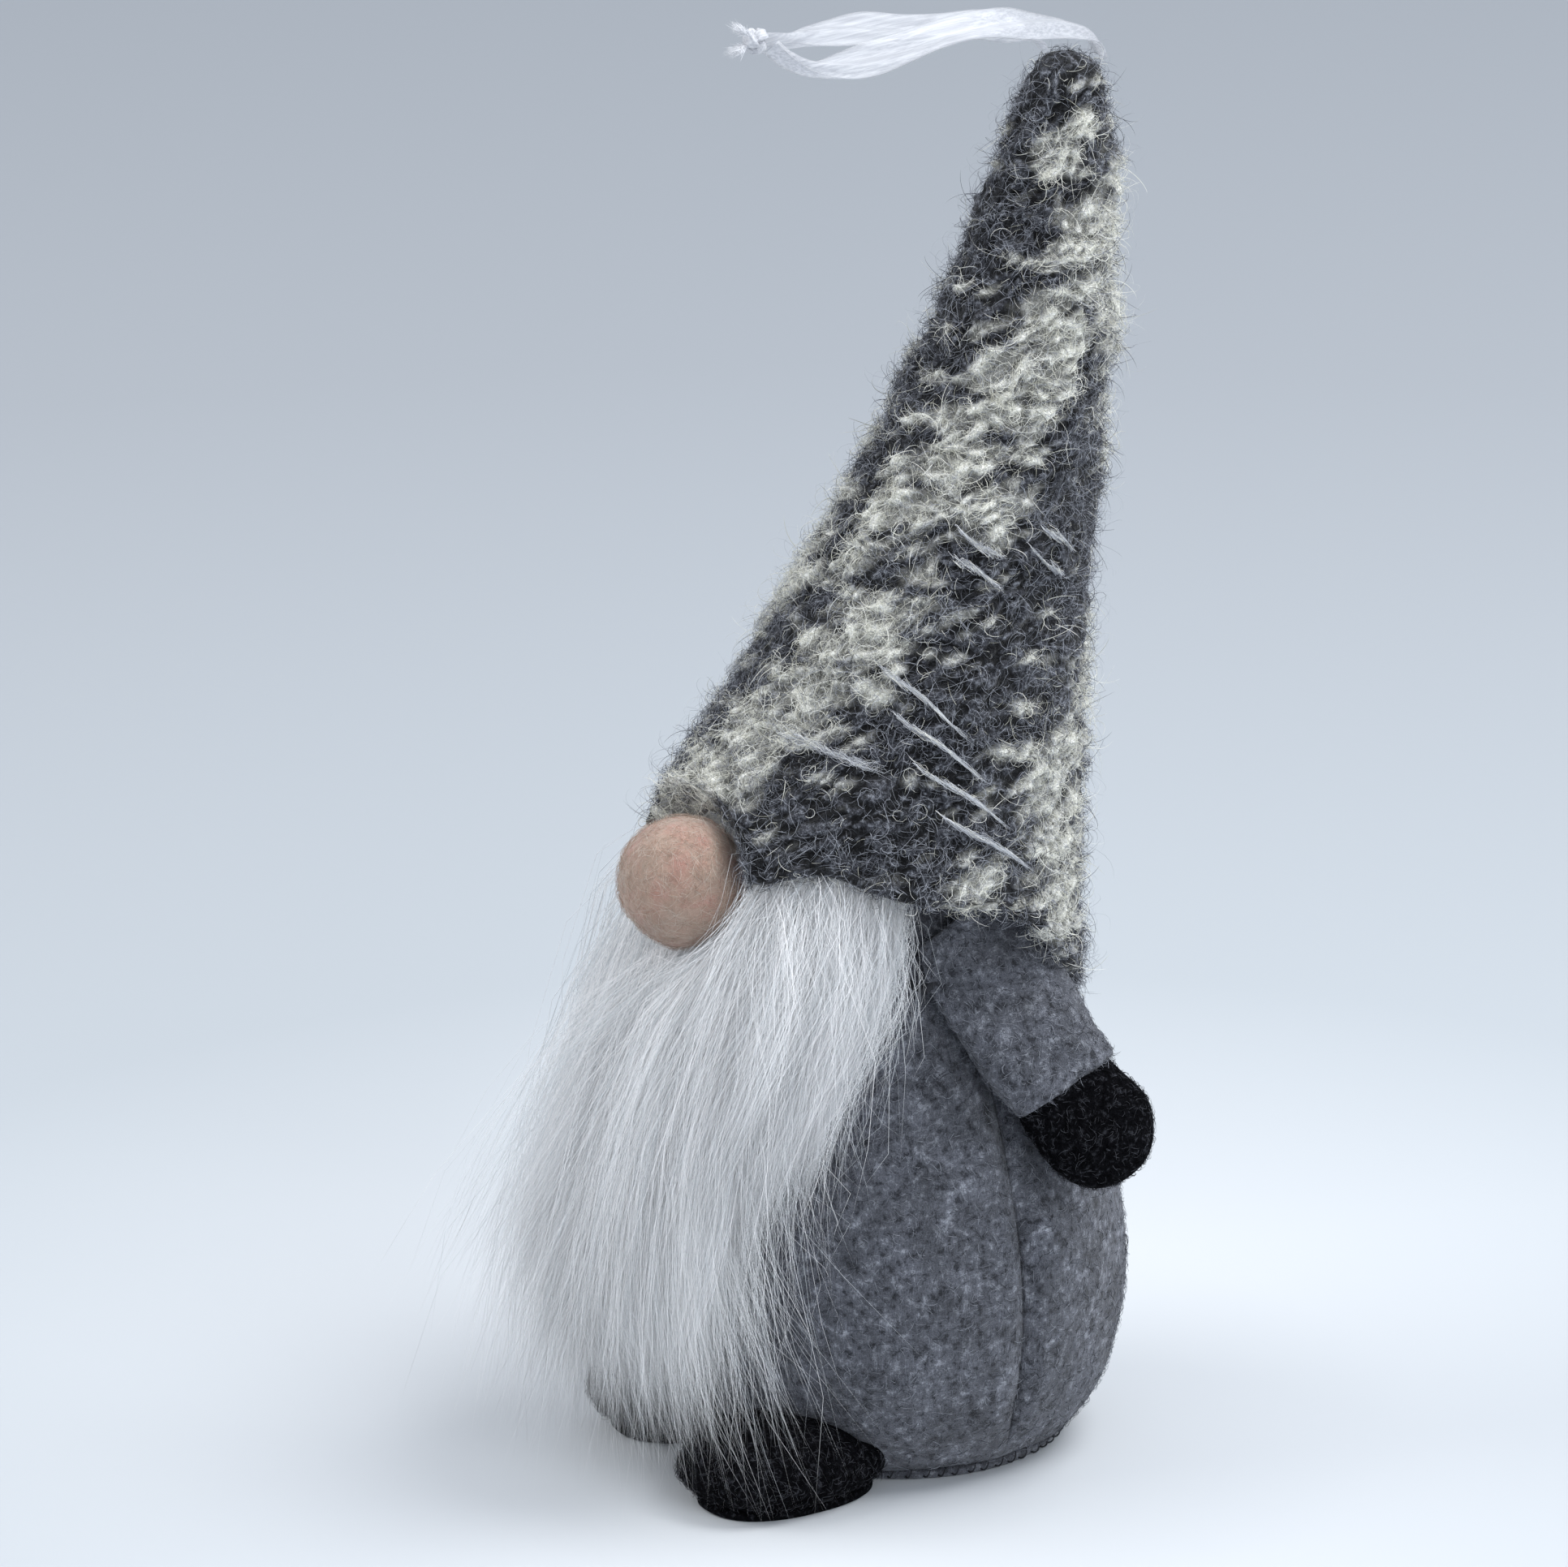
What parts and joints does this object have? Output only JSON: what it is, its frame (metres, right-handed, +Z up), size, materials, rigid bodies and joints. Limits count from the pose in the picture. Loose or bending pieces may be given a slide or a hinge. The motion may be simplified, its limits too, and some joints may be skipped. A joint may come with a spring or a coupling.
{
  "type": "tomte gnome figurine",
  "caption": "Stuffed felt gnome with a tall leaning knitted cone hat, ball nose, long fur beard, hinged arms with mittens, boots and a ribbon loop at the hat's tip.",
  "frame": {"origin": "centre of the felt base disc's lower face, on the surface the gnome stands on", "axes": "+Z up, the gnome's front faces -Y and its own left side is +X"},
  "size_m": [0.0884, 0.1058, 0.2353],
  "materials": {
    "grey_felt": "mottled pressed felt",
    "black_felt": "pressed felt with grey flecks",
    "hat_knit": "brushed loop knit, charcoal with cream blotches",
    "lining": "thin stiff interfacing",
    "nose_wool": "needle-felted wool",
    "beard_fur": "long straight white pile",
    "fur_backing": "knitted backing cloth",
    "filling": "polyester fibrefill",
    "pellet_pouch": "pouch of plastic pellets",
    "card": "grey board disc",
    "thread": "sewing thread",
    "ribbon": "translucent organza ribbon"
  },
  "bodies": {
    "torso": {"base_felt": "grey_felt", "base_card": "card", "base_seam_thread": "thread", "weight_bag": "pellet_pouch", "body_stuffing": "filling", "body_panel_front_left": "grey_felt", "body_panel_front_right": "grey_felt", "body_panel_back_left": "grey_felt", "body_panel_back_right": "grey_felt", "gather_thread": "thread", "boot_sole_left": "black_felt", "boot_upper_left": "black_felt", "boot_filling_left": "filling", "boot_sole_right": "black_felt", "boot_upper_right": "black_felt", "boot_filling_right": "filling", "beard_backing": "fur_backing", "beard_fur": "beard_fur", "nose_thread": "thread", "nose_ball": "nose_wool", "shoulder_thread_left": "thread", "shoulder_thread_right": "thread", "hat_lining": "lining", "hat_stuffing": "filling", "hat_tacks": "thread", "hat_knit": "hat_knit"},
    "arm_left": {"sleeve_left": "grey_felt", "mitten_left": "black_felt", "arm_filling_left": "filling"},
    "arm_right": {"sleeve_right": "grey_felt", "mitten_right": "black_felt", "arm_filling_right": "filling"},
    "hanger": {"ribbon_loop": "ribbon", "ribbon_knot": "ribbon"}
  },
  "joints": [
    {"name": "arm_left_lift", "type": "hinge", "parent": "torso", "child": "arm_left", "pos_m": [0.0215, -0.002, 0.0835], "axis": [0, -0.9135, -0.4067], "range_deg": [0, 60]},
    {"name": "arm_right_lift", "type": "hinge", "parent": "torso", "child": "arm_right", "pos_m": [-0.0215, -0.002, 0.0835], "axis": [0, 0.9135, 0.4067], "range_deg": [0, 60]},
    {"name": "hanger_swing", "type": "hinge", "parent": "torso", "child": "hanger", "pos_m": [0, 0.037, 0.214], "axis": [-1, 0, 0], "range_deg": [0, 75]}
  ]
}
